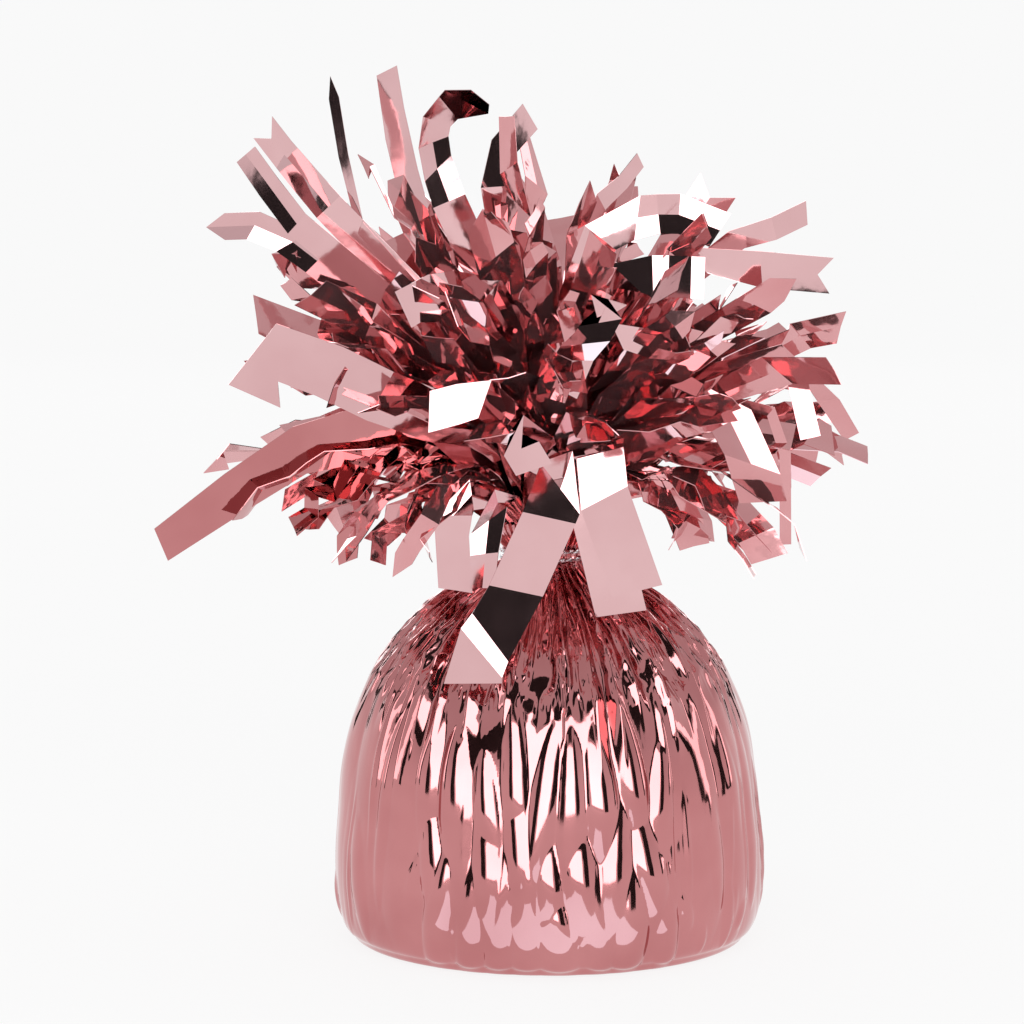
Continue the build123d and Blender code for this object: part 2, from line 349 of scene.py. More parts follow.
def loose_ribbon(path, width, root_width, chance, spacing, crease, taper, tip="cut"):
    """A ribbon whose creases and folds are drawn by chance."""
    rows = crease_stations(path, spacing, crease, chance)
    keel = 0.0
    for j, row in enumerate(rows):
        keel = 0.5 * keel + chance.uniform(-1, 1) * FOLD * (width / 2) * min(1.0, row[0] / WIDEN_RUN)
        rows[j] = (*row, keel)
    return ribbon(path, width, root_width, rows, tip, taper)


def bundle(name, ribbons, material):
    """One piece from several ribbons."""
    points, faces = [], []
    base = 0
    for some, quads in ribbons:
        points.append(some)
        faces += [tuple(base + v for v in quad) for quad in quads]
        base += len(some)
    return mesh_piece(name, np.concatenate(points), faces, material, CREASE_ANGLE)


# Bag: one skin of film from the base to the strips, with puffs, long folds and neck pleats.

# Radius and height of the bag's side, from the base to the strips.
BAG = [
    (29.0, 0.0), (30.7, 0.35), (32.2, 2.0), (33.0, 4.6), (33.4, 9.0), (33.2, 15.0),
    (32.6, 21.0), (32.0, 27.0), (30.9, 33.0), (29.4, 38.0), (27.3, 43.0), (24.2, 47.6),
    (20.6, 51.2), (16.6, 54.1), (12.7, 56.2), (9.6, 57.7), (7.7, 59.0), (6.95, 60.2),
    (6.75, 61.0), (6.95, 62.0), (7.6, 63.2), (8.6, 64.8), (9.2, 66.3),
]
COLUMNS = 528
ROWS = 168
FRONT = math.radians(270)
GIRTH_RADIUS = 33.0
PLEATS = 36
TIE_HEIGHT = 61.0
# How far, in radians, the columns crowd together at the front.
FRONT_CROWDING = 0.35
# Depth and spacing of the puffs in front and behind, by their half width.
PUFF_DEPTH = 0.38
PUFF_STEP = 1.9
# Height at which the pleats start, and how much lower in front and behind.
PLEAT_START = 47
PLEAT_DROP = 5
# The film's soft swell and its noise scale, per millimetre.
SWELL = 0.3
SWELL_SCALE = 0.08
# Crumpled streaks at the shoulder, as shares of its radius: all round, and more in front.
STREAK = 0.04
FRONT_STREAK = 0.03
STREAK_STRETCH = 0.011
STREAK_SCALES = (11, 27)
# Heights between which each kind of fold comes in or fades out.
SWELL_IN = (2, 8)
SWELL_OUT = (50, 57)
STREAK_IN = (38, 47)
STREAK_OUT = (56, 59)
PUFF_OUT = (42, 52)
PLEAT_IN = (50, 56)
FOOT_IN = (-0.2, 2.5)
# The deepest fold, and the groove above the base: depth, height and half width.
DEEPEST = -0.75
GROOVE = (0.3, 1.1, 0.5)
# The film is slit from this height, at one column in so many.
SLIT_HEIGHT = 62.0
SLIT_STEP = 12
# Radii of the rings under the base, and the height of their ripples.
BASE_RINGS = (22.0, 14.0, 6.0)
BASE_RIPPLE = 0.12


def bag_profile():
    """The bag's side in even steps along a smooth curve through its points."""
    points = np.array(BAG)
    padded = np.vstack([2 * points[0] - points[1], points, 2 * points[-1] - points[-2]])
    fine = []
    for spot in np.linspace(0, len(points) - 1 - 1e-6, 1200):
        i = int(spot)
        t = spot - i
        a, b, c, d = padded[i:i + 4]
        bend = 2 * a - 5 * b + 4 * c - d
        twist = 3 * b - a - 3 * c + d
        fine.append(0.5 * (2 * b + (c - a) * t + bend * t ** 2 + twist * t ** 3))
    fine = np.array(fine)
    runs = run_lengths(fine)
    even = np.linspace(0, runs[-1], ROWS)
    return np.stack([np.interp(even, runs, fine[:, k]) for k in range(2)], axis=1)


def smooth_step(low, high, value):
    t = np.clip((value - low) / (high - low), 0, 1)
    return t * t * (3 - 2 * t)


def bag_puffs():
    """Lens-shaped puffs of the film: angle, foot, top, half width, depth, slant and skew of each."""
    chance = random.Random(11)
    puffs = []

    def add(angle, foot, top, wide, depth, slant):
        puffs.append((math.radians(angle), foot, top, wide, depth, slant, chance.uniform(-0.5, 0.5)))

    # Three staggered rows of puffs across the front and the back: feet, tops and turn of each row.
    rows = (((11, 19), (34, 43), 0.0), ((2, 8), (22, 34), 3.0), ((-12, -3), (14, 25), 5.0))
    for middle in (270, 90):
        for foots, tops, shift in rows:
            angle = middle - 36 + shift
            while angle < middle + 34:
                wide = chance.uniform(2.2, 3.4)
                add(angle, chance.uniform(*foots), chance.uniform(*tops), wide, PUFF_DEPTH * wide,
                    chance.uniform(-0.16, 0.16))
                angle += math.degrees(PUFF_STEP * wide / GIRTH_RADIUS)
    # Wide shallow puffs at the sides.
    for middle in (0, 180):
        for aside in (-46, -27, -9, 10, 29, 47):
            add(middle + aside + chance.uniform(-4, 4), chance.uniform(1, 3), chance.uniform(44, 54),
                chance.uniform(5.5, 8.5), chance.uniform(0.5, 0.8), chance.uniform(-0.08, 0.08))
    # Thin long creases.
    for angle in (203, 214, 236, 304, 309, 327, 334, 352, 14, 33, 52, 128, 149, 168):
        foot = chance.uniform(2, 8)
        add(angle, foot, foot + chance.uniform(24, 42), chance.uniform(0.7, 1.1), chance.uniform(0.6, 0.9),
            chance.uniform(-0.12, 0.12))
    # Short crumples near the foot.
    for _ in range(46):
        foot = chance.uniform(1, 9)
        add(chance.uniform(0, 360), foot, foot + chance.uniform(5, 14), chance.uniform(0.8, 1.8),
            chance.uniform(0.3, 0.6), chance.uniform(-0.3, 0.3))
    # Long narrow puffs at the sides.
    for middle in (0, 180):
        for aside in (-42, -31, -19, -7, 5, 17, 28, 40):
            foot = chance.uniform(1, 9)
            add(middle + aside + chance.uniform(-3, 3), foot, foot + chance.uniform(20, 36),
                chance.uniform(2.0, 3.6), chance.uniform(0.55, 0.95), chance.uniform(-0.12, 0.12))
    return puffs


def puff_height(turn, height):
    """How far the puffs stand off the bag at an angle and height."""
    stand = np.zeros(turn.shape)
    for angle, foot, top, wide, depth, slant, skew in bag_puffs():
        along = (height - (foot + top) / 2) / ((top - foot) / 2)
        lens = np.maximum(1 - along * along, 0)
        aside = ((turn - angle + math.pi) % (2 * math.pi) - math.pi) * GIRTH_RADIUS
        aside = aside + slant * (height - (foot + top) / 2)
        share = aside / np.maximum(wide * lens ** 0.6, 1e-6)
        stand = np.maximum(stand, depth * lens * (1 + skew * along) * np.maximum(1 - share * share, 0))
    return stand


def pleat_height(turn, height, radius):
    """How far the uneven pleats below the tie and the flutes above it stand off the bag."""
    phase = PLEATS * turn + 2.2 * np.sin(3 * turn + 1) + 1.3 * np.sin(7 * turn + 2)
    phase += 0.06 * height * np.sin(5 * turn)
    saw = 2 * np.abs((phase / (2 * math.pi)) % 1 - 0.5)
    facing = np.abs(np.cos(turn - FRONT))
    start = PLEAT_START - PLEAT_DROP * facing + 5 * np.sin(np.floor(phase / (2 * math.pi)) * 2.4)
    waist = np.exp(-((height - TIE_HEIGHT) / 1.6) ** 2)
    ease = 0.35 + 0.65 * np.maximum(smooth_step(0.35, 0.9, facing), smooth_step(*PLEAT_IN, height))
    deep = (0.085 * radius + 0.2) * (1 - 0.6 * waist) * ease
    return (saw - 0.28) * deep * smooth_step(start - 8, start + 9, height)


def wave_height(turn, height, radius):
    """How far the soft swell stands off the bag, less the crumpled streaks at its shoulder."""
    spots = np.stack([radius * np.cos(turn), radius * np.sin(turn), height], axis=2).reshape(-1, 3)
    swell = np.array([noise.noise(Vector(spot) * SWELL_SCALE) for spot in spots]).reshape(turn.shape)
    wave = SWELL * swell * smooth_step(*SWELL_IN, height) * (1 - 0.9 * smooth_step(*SWELL_OUT, height))
    streaks = np.stack([np.cos(turn), np.sin(turn), STREAK_STRETCH * height], axis=2).reshape(-1, 3)
    coarse, fine = STREAK_SCALES
    crumple = [abs(noise.noise(Vector(streak) * coarse)) + 0.5 * abs(noise.noise(Vector(streak) * fine))
               for streak in streaks]
    crumple = np.array(crumple).reshape(turn.shape)
    front_share = np.cos(turn - FRONT) ** 2
    streaked = smooth_step(*STREAK_IN, height) * (1 - smooth_step(*STREAK_OUT, height))
    return wave - (STREAK + FRONT_STREAK * front_share) * radius * crumple * streaked


def bag_side(profile):
    """Angles of the bag's columns, and the points of its side, row by row from the base."""
    slope = np.gradient(profile, axis=0)
    out = unit(np.stack([slope[:, 1], -slope[:, 0]], axis=1))
    even = np.linspace(0, 2 * math.pi, COLUMNS, endpoint=False)
    turn, row = np.meshgrid(even + FRONT_CROWDING * np.sin(FRONT - even), np.arange(ROWS))
    radius = profile[row, 0]
    height = profile[row, 1]
    puff = puff_height(turn, height) * (1 - 0.6 * smooth_step(*PUFF_OUT, height))
    folds = puff + wave_height(turn, height, radius) + pleat_height(turn, height, radius)
    stand = np.maximum(folds, DEEPEST) * smooth_step(*FOOT_IN, height)
    deep, middle, wide = GROOVE
    stand -= deep * np.exp(-((height - middle) / wide) ** 2)
    r = radius + out[row, 0] * stand
    z = np.maximum(height + out[row, 1] * stand, 0.0)
    return turn[0], np.stack([r * np.cos(turn), r * np.sin(turn), z], axis=2).reshape(-1, 3)


def slit_side(profile, points):
    """Points and faces of the bag's side, with the points along each slit doubled."""
    slit_row = int(np.argmax(profile[:, 1] > SLIT_HEIGHT))
    far_side = {}
    for j in range(slit_row + 1, ROWS):
        for i in range(0, COLUMNS, SLIT_STEP):
            far_side[j, i] = len(points) + len(far_side)
    points = np.concatenate([points, [points[j * COLUMNS + i] for j, i in far_side]])
    faces = []
    for j in range(ROWS - 1):
        for i in range(COLUMNS):
            k = (i + 1) % COLUMNS
            right = [far_side.get((row, k), row * COLUMNS + k) for row in (j, j + 1)]
            faces.append((j * COLUMNS + i, right[0], right[1], (j + 1) * COLUMNS + i))
    return points, faces


def base_film(angles, start):
    """Points, counted from a start, and faces of the film under the base, in rings inwards."""
    base_radius = BAG[0][0]
    points, faces = [], []
    outer = list(range(COLUMNS))
    for ring in BASE_RINGS:
        wavy = np.maximum(0, np.sin(30 * angles + 4 * np.sin(3 * angles)))
        ripple = BASE_RIPPLE * wavy * ring / base_radius
        points.append(np.stack([ring * np.cos(angles), ring * np.sin(angles), ripple], axis=1))
        inner = list(range(start, start + COLUMNS))
        start += COLUMNS
        for i in range(COLUMNS):
            k = (i + 1) % COLUMNS
            faces.append((outer[k], outer[i], inner[i], inner[k]))
        outer = inner
    faces.append(tuple(reversed(outer)))
    return points, faces


def make_bag():
    profile = bag_profile()
    angles, points = bag_side(profile)
    points, faces = slit_side(profile, points)
    rings, base_faces = base_film(angles, len(points))
    return mesh_piece("foil_bag", np.concatenate([points, *rings]), faces + base_faces, foil_with_painted_shade, sharp=0)


bag = make_bag()
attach(bag, "weight")
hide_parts("foil_wrap", "neck_gather")

# Angles, in degrees, that the flexing strips and the two streamers need room at.
FLEX_RISES = (-3.0, -1.5, 1.5, 3.0)
STREAMER_RISES = (5, 10, 15, 20)
STREAMERS = {"skirt_strip_11": 250, "skirt_strip_12": 297}
# The fringe's reach seen from the front, and how much more it is round an angle at the upper left.
REACH = 46
MORE_REACH = 18
MORE_ANGLE = -35
MORE_SPREAD = 25
# Filler strips stay above a floor that rises outward, and between two depths.
CORE_RADIUS = 16
FILLER_FLOOR = 78
FILLER_SLOPE = 0.16
FILLER_DEPTHS = (-42, 50)


class Crowd:
    """Sample points of the ribbons placed so far, to keep new ones from crossing them."""

    # Samples start clear of the roots, along the middle and near both edges.
    START = 18.0
    STEP = 2.4
    SIDES = (-0.45, 0, 0.45)
    # The space kept clear in front of a strip: steps, rise and the radius where it starts.
    FRONT_STEPS = (3.0, 6.0, 9.0, 12.0)
    FRONT_RISE = 0.12
    FRONT_RADIUS = 10
    # The share of samples that may lie too near.
    SHARE = 0.1

    def __init__(self):
        self.points = []
        self.tree = None

    def samples(self, path, width):
        runs, centres, _, acrosses = path[:4]
        spots = np.arange(self.START, runs[-1], self.STEP)
        middles, sides = (np.transpose([np.interp(spots, runs, values[:, k]) for k in range(3)])
                          for values in (centres, acrosses))
        return np.concatenate([middles + sides * width * side for side in self.SIDES])

    def add(self, path, width):
        self.points += [Vector(point) for point in self.samples(path, width)]
        self.settle()

    def keep_turned(self, path, width, azimuth, rises):
        """Keep the space that a flexing strip takes up at some angles from its rest clear."""
        spots = self.samples(path, width)
        out = Vector((math.cos(math.radians(azimuth)), math.sin(math.radians(azimuth)), 0))
        root = Vector(path[1][0])
        hinge = Vector((out.y, -out.x, 0))
        for rise in rises:
            turn = Matrix.Rotation(math.radians(rise), 3, hinge)
            self.points += [root + turn @ (Vector(spot) - root) for spot in spots]

    def settle(self):
        """Make the points ready for a search."""
        self.tree = kdtree.KDTree(len(self.points))
        for index, point in enumerate(self.points):
            self.tree.insert(point, index)
        self.tree.balance()

    def clear_front(self, path, width):
        """Keep the space in front of a strip's outer half clear, so that it stays in sight."""
        spots = self.samples(path, width)
        spots = spots[np.hypot(spots[:, 0], spots[:, 1]) > self.FRONT_RADIUS]
        for step in self.FRONT_STEPS:
            self.points += [Vector((x, y - step, z + self.FRONT_RISE * step)) for x, y, z in spots]

    def room(self, path, width, gap):
        """Whether a ribbon keeps a gap from the others."""
        spots = self.samples(path, width)
        near = sum(self.tree.find(Vector(point))[2] < gap for point in spots)
        return near <= self.SHARE * len(spots)


def front_reach(path):
    """How far a strip's tip reaches as a share of the fringe's outline seen from the front."""
    side = path[1][-1][0]
    rise = path[1][-1][2] - NECK_TOP
    angle = math.degrees(math.atan2(side, rise))
    outline = REACH + MORE_REACH * math.exp(-((angle - MORE_ANGLE) / MORE_SPREAD) ** 2)
    return math.hypot(side, rise) / outline


def fits(path):
    """Whether a filler strip stays inside the fringe and above the strips that flex."""
    centres = path[1]
    radii = np.hypot(centres[:, 0], centres[:, 1])
    floor = FILLER_FLOOR + FILLER_SLOPE * (radii - CORE_RADIUS)
    outside = (radii > CORE_RADIUS) & (centres[:, 2] < floor)
    front, back = FILLER_DEPTHS
    inside = centres[:, 1].min() > front and centres[:, 1].max() < back
    return not outside.any() and inside and front_reach(path) < 1.0


# Placed strips: width, taper and tip, the points of the stem, then the facets of the blade,
# each with its end's x and z, tilt, turn, slant and the height of the fold along its middle.
PLACED = {
    "skirt_strip_11": [
        (8.4, 0, "cut", [(-2.9, -8.1, 66.45), (-2, -11.5, 70.5), (-0.5, -16.5, 74), (2.2, -21.5, 75.1)], [
            (1.5, 73.4, 10, 4, 0, 0), (-0.2, 69.3, 22, 22, 0, 0), (-5.2, 58.2, -5, 15, 0, 0),
            (-9.1, 51.6, 15, 20, 0, 0), (-10.4, 49.3, 6, 7, 0, 0), (-11.7, 44.6, -3, -4, -0.3, 0)]),
        (5.2, 0, "cut", [(-4.6, -7.2, 66.5), (-7.5, -10, 70.5), (-12, -13.5, 71.5), (-14.8, -15.2, 68.5)], [
            (-15, 65.5, -5, 0, 0.1, 0), (-14.5, 56.8, -5, -3, 0.2, 0.2)]),
        (5, 0.2, "cut", [(-3.8, -7.7, 66.45), (-6, -11, 70), (-8, -15, 70.5), (-9.3, -17.3, 68)], [
            (-10, 63, 14, -20, 0.2, 0.5), (-10.4, 57.5, -12, -16, -0.2, 0.3)])],
    "skirt_strip_12": [
        (7.8, 0, "cut", [(3.9, -7.66, 66.45), (4.4, -10.5, 71.5), (5.5, -14.5, 76), (7.1, -19, 78.4)], [
            (8.2, 71.8, 11, -6, 0, 0), (13.3, 57.4, -4.5, 2.3, 0.1, 0)]),
        (7.8, 0, "cut", [(2.9, -8, 66.45), (3.6, -11, 71), (4.8, -14.5, 73.5), (5.9, -17.6, 73)], [
            (6.7, 70.8, 5, 0, 0, 0), (10.9, 53.6, -3, 0, 0.1, 0)])],
    "skirt_strip_09": [
        (9, 0.4, "cut", [(-8.3, -2.2, 66.45), (-14, -3.8, 73.5), (-21.5, -5.8, 78.6), (-28, -7.5, 80.4)], [
            (-38.5, 78, -5, 15, 0.1, 0.2), (-48.5, 71.6, -8, 16, 0.1, 0), (-59.6, 63.9, -4, 15, 0.2, 0)])],
    "crown_strip_03": [
        (6, 0.35, "cut", [(-2.76, 0.5, 66.1), (-6, 2, 84), (-14, 2, 102), (-20.2, 2, 111.8)], [
            (-23.1, 123, 8, -32, 0.1, 0.15), (-24.4, 129.5, 2, -36, 0, 0.1),
            (-25.4, 135.8, 4, -30, -0.2, 0)])],
    "high_strip_05": [
        (5.4, 0.1, "notch", [(-4.24, 0.3, 66.1), (-8, 1, 82), (-20, 1, 100), (-34.3, 0, 114.9)], [
            (-38, 119, 12, -22, 0.3, 0.4), (-41.4, 122.8, 4, -34, -0.2, 0.15),
            (-44.8, 127, 2, -30, 0.2, 0)])],
    "mid_strip_06": [
        (6, 0.3, "point", [(-5.69, 0.4, 66.1), (-11, -1, 80), (-22, -2, 96), (-35.9, -3, 106.7)], [
            (-40, 109.5, 10, -21, 0.3, 0.6), (-46, 112, -5, -12, 0.2, 0.6), (-53.6, 111.5, 4, -30, 0, 0)])],
    "mid_strip_01": [
        (3.6, 0, "cut", [(5.6, 1, 66.1), (10, 1, 84), (18, 1, 101), (29.1, 0, 109.8)], [
            (34.9, 111.5, -4, 8, 0.2, 0), (40.2, 113.8, 2, 30, 0.3, 0)])],
    "pale_left": [
        (8.6, 0, "cut", [(-4.5, -2.5, 66.1), (-8, -8.5, 75), (-15, -17, 83), (-25.6, -25, 87.8)], [
            (-33.2, 91.6, -8, 0, 0.1, 0), (-41, 94.4, -8, -4, 0.4, 0), (-44.6, 87.6, -20, 0, 0, 0)])],
    "pale_front": [
        (6, 0, "cut", [(-2, -3.5, 66.1), (-3, -9, 82), (-5, -15, 95), (-9.4, -19.3, 102.7)], [
            (-14, 103.5, -2, 30, 0, 0), (-17.9, 102.9, -8, 0, 0, 0), (-22.2, 100.5, -9, -6, 0.1, 0)])],
    "mirror_arch": [
        (6, 0, "cut", [(2, -2.5, 66.1), (3, -6, 86), (4.5, -9.5, 102), (7.7, -11.5, 110.8)], [
            (13.3, 113.9, 10, -18, 0.2, 0), (16.5, 114.5, 8, 0, 0, 1.1), (19.7, 114.5, 8, 0, -0.2, 1.1),
            (25.9, 112, 12, 4, 0.2, 0)])],
    "banded": [
        (6.4, 0, "cut", [(3, -3.5, 66.1), (4, -8, 84), (6.5, -13, 98), (11.5, -16, 104.9)], [
            (15.6, 105.1, 10, 20, 0.1, 0), (18, 105.1, 10, 0, -0.1, 0), (21.4, 105, 10, -20, 0.1, 0),
            (23.4, 104.9, 10, 2, 0, 0)])],
    "right_notch": [
        (5.6, 0, "notch", [(3.5, -1.5, 66.1), (6, -4, 84), (12, -7, 99), (21.7, -8, 107.2)], [
            (32.6, 105.6, -4, 6, 0.3, 0.3), (43.7, 104.4, -3, 20, 0, 0)])],
    "thin_right": [
        (2.4, 0, "cut", [(1.5, 0, 66.1), (2.5, 0, 88), (5, 0, 106), (8, 0, 115.7)], [
            (11.4, 118.6, 4, 28, 0, 0), (14.2, 122, 2, 32, 0.3, 0)])],
    "thin_left": [
        (1.7, 0, "point", [(-3.5, 1.5, 66.1), (-9, 1, 86), (-20, 0.5, 101), (-29.3, 0, 111.6)], [
            (-32, 122.7, 3, -30, 0, 0), (-34.1, 135, 8, -20, 0, 0)])],
    "short_left": [
        (4.2, 0, "cut", [(-3.5, -1, 66.1), (-9, -2, 82), (-23, -3, 99), (-39, -4, 112.5)], [
            (-43.4, 118, 8, -21, 0, 0.4), (-47.1, 123, 2, -32, 0.1, 0)])],
    "top_curl": [
        (5.4, 0, "point", [(-1.5, -1, 66.1), (-5, -2, 84), (-10, -3, 104), (-15.5, -4, 116)], [
            (-17.2, 121, 16, 20, 0.2, 0.4), (-17.9, 125, 4, 30, 0, 0.3), (-17.4, 128.2, -8, 34, 0, 0),
            (-15.6, 130.3, -20, 30, 0, 0), (-12.8, 131.2, -32, 16, 0, 0), (-9.3, 130.8, -44, 6, 0, 0)])],
    "top_tip": [
        (4.6, 0, "cut", [(-0.5, -1.5, 66.1), (-2, -2, 84), (-6, -3, 104), (-8.4, -4, 118.2)], [
            (-7.2, 124.2, 4, 30, 0, 0), (-3, 128.9, 2, 28, 0.2, 0)])],
    "front_tab": [
        (5.6, 0, "cut", [(0.5, -5.5, 66.1), (0, -13, 74), (-2, -22, 80), (-5.8, -31, 83.4)], [
            (-4.4, 80.5, -6, 0, 0.1, 0), (-2.5, 77.3, -6, 0, 0.2, 0)])],
    "white_tab": [
        (6, 0, "cut", [(-2.5, -5, 66.1), (-4, -14, 76), (-6, -23, 84), (-9.9, -27.6, 87.6)], [
            (-14, 86.8, 11, 0, 0.2, 0.5), (-18.2, 85.7, 11, 0, 0.3, 0.5)])],
    "front_drop": [
        (5.6, 0, "cut", [(1.5, -5, 66.1), (3, -13, 82), (5.5, -22, 95), (8.6, -29, 102.6)], [
            (7.1, 99.1, -6, 0, 0.1, 0), (5.1, 96.1, 27, -6, 0, 0), (3.2, 93.5, -24, 0, 0, 0),
            (1.4, 89, -5, 0, 0.1, 0)])],
    "leaf": [
        (4.4, 0, "point", [(4, -5, 66.1), (6, -13, 82), (8, -21, 93), (10, -25.8, 96.9)], [
            (15.3, 95.7, -5, 0, 0, 0.15), (21, 93.8, -5, 4, 0, 0)])],
}
# More placed strips, beside the slit film of three flexing strips.
BESIDE = {
    "skirt_strip_01": [
        (4, 0.3, "cut", [(8.5, -1.2, 66.45), (14, -2, 77), (25, -3.5, 89), (37, -5, 92)], [
            (43.4, 85, 6, 30, 0.1, 0), (47.3, 79, -4, 30, 0.3, 0)]),
        (3.2, 0, "cut", [(8.4, -2, 66.45), (13, -5, 77), (22, -10, 87), (32.5, -14, 90.6)], [
            (37.8, 89.2, -4, 10, 0.1, 0), (39.8, 80.4, 12, 2, 0, 0.2)])],
    "skirt_strip_10": [
        (3.2, 0, "point", [
            (-6.7, -5.4, 66.45), (-11, -10, 73), (-15.5, -14.5, 73.5), (-18.3, -17.3, 68.2)], [
            (-21.3, 63.9, -4, -10, 0, 0), (-24.1, 59, -2, -20, 0, 0)])],
    "skirt_strip_13": [
        (1.8, 0, "cut", [(7.3, -4.6, 66.45), (14, -7, 78), (26, -9, 86), (34, -10, 84)], [
            (36.3, 77.3, -4, 10, 0, 0), (36.5, 63.2, -2, 6, 0, 0)]),
        (6, 0.2, "cut", [(6.6, -5.5, 66.45), (10, -7.5, 71), (14.5, -10, 73.5), (18.5, -11.5, 72)], [
            (20.6, 68, 12, 22, 0.2, 0.5), (22.4, 63, -12, 18, 0.2, 0.3)]),
        (7, 0, "cut", [(7.1, -4.9, 66.45), (11, -10, 76), (18, -16, 83), (23.5, -20, 85.4)], [
            (27.4, 83.6, 13, 4, 0.2, 0.6), (30.6, 77, 14, 20, 0.1, 0.6), (32.4, 71, -18, 8, 0.3, 0)])],
}

# Root widths of placed CAD strips, other placed strips and narrow slit film.
PLACED_ROOT = 2.4
EXTRA_ROOT = 1.8
SLIT_ROOT = 1.6
# Half the gap between neighbouring roots.
ROOT_GAP = 0.35
SWAYS = {"crown_strip_02": 50}
TIPS = ("cut", "cut", "cut", "notch", "point")

crowd = Crowd()
# The ribbons of each CAD strip, and the path, width and azimuth of those that flex.
tufts = {}
flexing = {}


def tier_strips(tier, root, foot, rise, strips):
    """A creased ribbon along each strip of a tier that isn't placed one by one."""
    turns = sorted(strip[0] % 360 for strip in strips)
    half_share = math.radians(min((b - a) % 360 for a, b in zip(turns, turns[1:] + turns[:1])) / 2)
    root_width = 2 * (root * math.tan(half_share) - ROOT_GAP)
    for number, strip in enumerate(strips, 1):
        name = f"{tier}_strip_{number:02d}"
        tufts[name] = []
        if name in PLACED:
            continue
        chance = random.Random(name)
        path = strip_path(root, foot, rise, strip, roll=chance.uniform(-25, 25), sway=SWAYS.get(name, 0))
        tip = chance.choice(TIPS)
        width = strip[4] * chance.uniform(0.75, 1.0)
        shape = loose_ribbon(path, width, root_width, chance, spacing=chance.uniform(5, 9),
                             crease=chance.uniform(0.6, 1.4), tip=tip, taper=chance.uniform(0.1, 0.5))
        tufts[name].append(shape)
        crowd.add(path, width)
        if tier == "skirt":
            flexing[name] = [(path, width, strip[0])]


def placed_ribbons(name, strips, root_width):
    """The ribbons of placed strips, added to the crowd and kept in sight."""
    made = []
    for width, taper, tip, stem, blade in strips:
        path = blade_path(stem, blade)
        folds = [(0, 0)] * len(stem) + [facet[4:] for facet in blade]
        rows = [(run, slant, 0.0, keel) for run, (slant, keel) in zip(path[0], folds)]
        edges = crease_edges(path, [slant for slant, _ in folds])
        made.append(ribbon(path, width, root_width, rows, tip, taper, edges))
        if name in STREAMERS:
            crowd.keep_turned(path, width, STREAMERS[name], STREAMER_RISES)
        crowd.add(path, width)
        crowd.clear_front(path, width)
    return made


for tier, sizes in TIERS.items():
    tier_strips(tier, *sizes)
for name, strips in PLACED.items():
    if name in tufts:
        tufts[name] = placed_ribbons(name, strips, PLACED_ROOT)
        continue
    # These placed strips get the paler film, painted light.
    piece = bundle(f"film_{name}", placed_ribbons(name, strips, EXTRA_ROOT), foil_with_painted_light)
    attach(piece, "weight")
for name, strips in BESIDE.items():
    tufts[name] += placed_ribbons(name, strips, SLIT_ROOT)

# Narrower slit film beside each flexing strip, on the same body.
# Beside the two streamers it keeps to the far side of its strip, by some degrees.
AWAY = {10: -6, 13: 1}
# A strip that leans farther hangs down and gets none.
HANGING_LEAN = 100
# A strip with more bow droops and gets more film, which hangs lower.
DROOPING_BOW = 60
MOST = 6
MOST_DROOPING = 12
BESIDE_TRIES = 200
BESIDE_GAP = 1.0
# Its tips stay above this height.
LOWEST_TIP = 60


def film_beside(number, strip):
    """Narrower film beside one flexing strip, where there is room."""
    name = f"skirt_strip_{number:02d}"
    chance = random.Random(name + "_beside")
    root, foot, rise, _ = TIERS["skirt"]
    azimuth, lean, bow, length, _, _ = strip
    drooping = bow > DROOPING_BOW
    for _ in range(BESIDE_TRIES):
        if len(tufts[name]) > (MOST_DROOPING if drooping else MOST):
            break
        lower = chance.uniform(0, 34) if drooping else 0
        beside = (azimuth + AWAY.get(number, 0) + chance.uniform(-9, 9),
                  lean + lower + chance.uniform(-6, 16), bow + chance.uniform(-25, 25),
                  length * chance.uniform(0.5, 0.9), chance.uniform(4, 7), chance.uniform(-80, 80))
        width = beside[4]
        path = strip_path(root, foot, rise, beside, sway=chance.uniform(-10, 10))
        if path[1][-1][2] > LOWEST_TIP and crowd.room(path, width, BESIDE_GAP):
            shape = loose_ribbon(path, width, SLIT_ROOT, chance, spacing=chance.uniform(3.5, 6),
                                 crease=chance.uniform(0.6, 1.3), taper=chance.uniform(0, 0.4))
            tufts[name].append(shape)
            crowd.add(path, width)
            flexing.setdefault(name, []).append((path, width, azimuth))
    for moving in flexing.get(name, []):
        crowd.keep_turned(*moving, FLEX_RISES)
    crowd.settle()


for number, strip in enumerate(TIERS["skirt"][3], 1):
    if strip[1] <= HANGING_LEAN:
        film_beside(number, strip)

# The long strip at the lower left takes the bag's film, with its deeper tone of painted shade.
FOILS = {"skirt_strip_09": foil_with_painted_shade}
# Placed strips other than the lower-left one get the paler film, painted light.
for name, made in tufts.items():
    foil = FOILS.get(name, foil_with_painted_light if name in PLACED else strip_foil)
    piece = bundle(f"film_{name}", made, foil)
    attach(piece, name if name.startswith("skirt") else "weight")
    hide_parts(name)

# Filler strips between the tiers: root radius, lean, bow, length, gap kept and how many.
FILLS = [
    ((0.8, 3.0), (2, 18), (-5, 25), (30, 52), 0.7, 24),
    ((3.0, 4.8), (15, 34), (0, 30), (32, 58), 0.7, 56),
    ((4.8, 6.4), (32, 48), (5, 35), (32, 58), 0.8, 76),
    ((6.4, 7.8), (46, 60), (10, 40), (32, 54), 1.0, 76),
]
# Tries per filler wanted, and the degrees of a sector, which is one piece.
FILLER_TRIES = 120
SECTOR = 30


